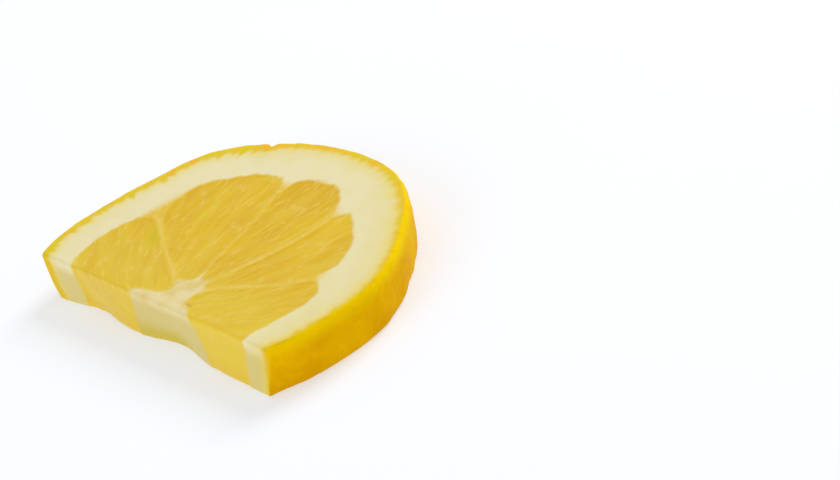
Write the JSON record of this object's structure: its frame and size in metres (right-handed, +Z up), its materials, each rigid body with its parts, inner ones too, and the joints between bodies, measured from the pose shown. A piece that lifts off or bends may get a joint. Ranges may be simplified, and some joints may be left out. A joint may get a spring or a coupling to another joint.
{
  "type": "lemon slice",
  "caption": "Half-round slice of fresh lemon lying flat: yellow peel, thick pale pith, and juicy segments fanned round a pale core at the straight cut.",
  "frame": {"origin": "on the surface that the slice lies on, under the middle of its bounding box", "axes": "+X runs along the straight cut, towards the end where the cut face and the peel meet nearest the viewer in the picture; +Y runs from the cut face across the core to the top of the peel's arc; +Z is up, through the slice's thickness"},
  "size_m": [0.0597, 0.0348, 0.0063],
  "materials": {
    "lemon": "satin"
  },
  "bodies": {
    "root": {"lemon_slice": "lemon"}
  },
  "joints": []
}
